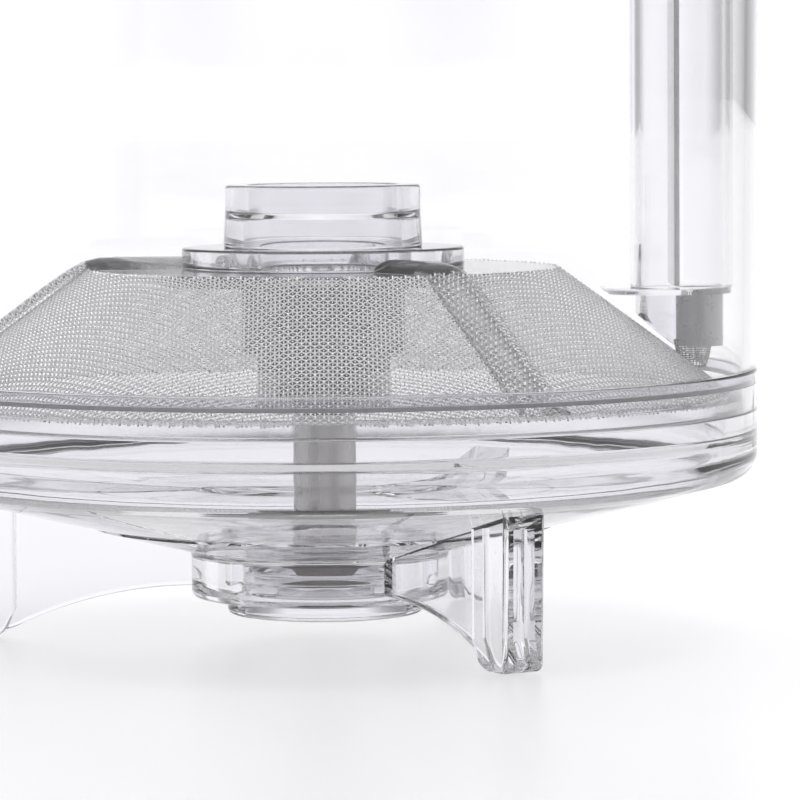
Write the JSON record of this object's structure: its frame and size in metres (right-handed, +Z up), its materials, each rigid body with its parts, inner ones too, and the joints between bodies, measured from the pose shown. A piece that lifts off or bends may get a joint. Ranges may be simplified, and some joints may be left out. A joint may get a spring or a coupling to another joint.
{
  "type": "protein skimmer",
  "caption": "Clear cylindrical foam fractionator on fin feet, with a woven-wire diffuser cone, side feed pipe, level standpipe and lift-off collection cup.",
  "frame": {"origin": "on the floor under the vessel's axis", "axes": "+Z up along the vessel's axis, +X towards the feed pipe, the outlet on -X"},
  "size_m": [0.248, 0.144, 0.316],
  "materials": {
    "clear_plastic": "clear moulded acrylic, polished, slight cool tint in thick edges",
    "wire_cloth": "plain-woven stainless wire cloth",
    "stainless": "drawn stainless tube",
    "dark_plastic": "fine-textured dark grey plastic",
    "grey_plastic": "satin mid-grey plastic",
    "seal_rubber": "black sealing rubber",
    "clear_silicone": "translucent silicone",
    "foot_rubber": "warm grey elastomer"
  },
  "bodies": {
    "vessel": {"base_bowl": "clear_plastic", "bowl_gasket": "clear_silicone", "body_tube": "clear_plastic", "screen_frame": "clear_plastic", "screen_mesh": "wire_cloth", "collar_flange": "clear_plastic", "collar_neck": "clear_plastic", "centre_riser": "clear_plastic", "riser_nozzle": "stainless", "nozzle_foot": "foot_rubber", "feed_pipe": "clear_plastic", "feed_seat": "clear_plastic", "feed_foot": "grey_plastic", "foot_strainer": "wire_cloth", "feed_elbow": "dark_plastic", "feed_gasket": "clear_silicone", "feed_nut": "dark_plastic", "venturi_body": "dark_plastic", "air_inlet": "grey_plastic", "outlet_bulkhead": "dark_plastic", "outlet_gasket": "clear_silicone", "outlet_nut": "dark_plastic", "outlet_elbow": "dark_plastic", "standpipe": "clear_plastic", "pipe_bracket": "dark_plastic", "lid_gasket": "clear_silicone", "neck_cone": "clear_plastic", "clamp_ring": "dark_plastic", "lid_screws": "stainless", "lid_nuts": "stainless", "cup_seal": "seal_rubber"},
    "plug": {"drain_plug": "clear_plastic", "drain_seal": "clear_silicone"},
    "air_control": {"air_knob": "dark_plastic"},
    "sleeve": {"level_sleeve": "clear_plastic"},
    "cup": {"collection_cup": "clear_plastic", "foam_tube": "clear_plastic", "cup_drain": "dark_plastic"},
    "cock": {"cock_key": "grey_plastic"},
    "lid": {"cup_lid": "dark_plastic", "lid_seal": "clear_silicone", "lid_knob": "dark_plastic"}
  },
  "joints": [
    {"name": "plug_turn", "type": "hinge", "parent": "vessel", "child": "plug", "pos_m": [0, 0, 0.008], "axis": [0, 0, 1], "range_deg": [0, 60]},
    {"name": "air_knob_turn", "type": "hinge", "parent": "vessel", "child": "air_control", "pos_m": [0.098, 0, 0.21], "axis": [0, 0, 1], "range_deg": [0, 270]},
    {"name": "sleeve_slide", "type": "slide", "parent": "vessel", "child": "sleeve", "axis": [0, 0, 1], "range_m": [0, 0.016]},
    {"name": "cup_lift", "type": "slide", "parent": "vessel", "child": "cup", "axis": [0, 0, 1], "range_m": [0, 0.03]},
    {"name": "cock_turn", "type": "hinge", "parent": "cup", "child": "cock", "pos_m": [0.063, 0, 0.2461], "axis": [0, 0, 1], "range_deg": [0, 90]},
    {"name": "lid_lift", "type": "slide", "parent": "cup", "child": "lid", "axis": [0, 0, 1], "range_m": [0, 0.04]}
  ]
}
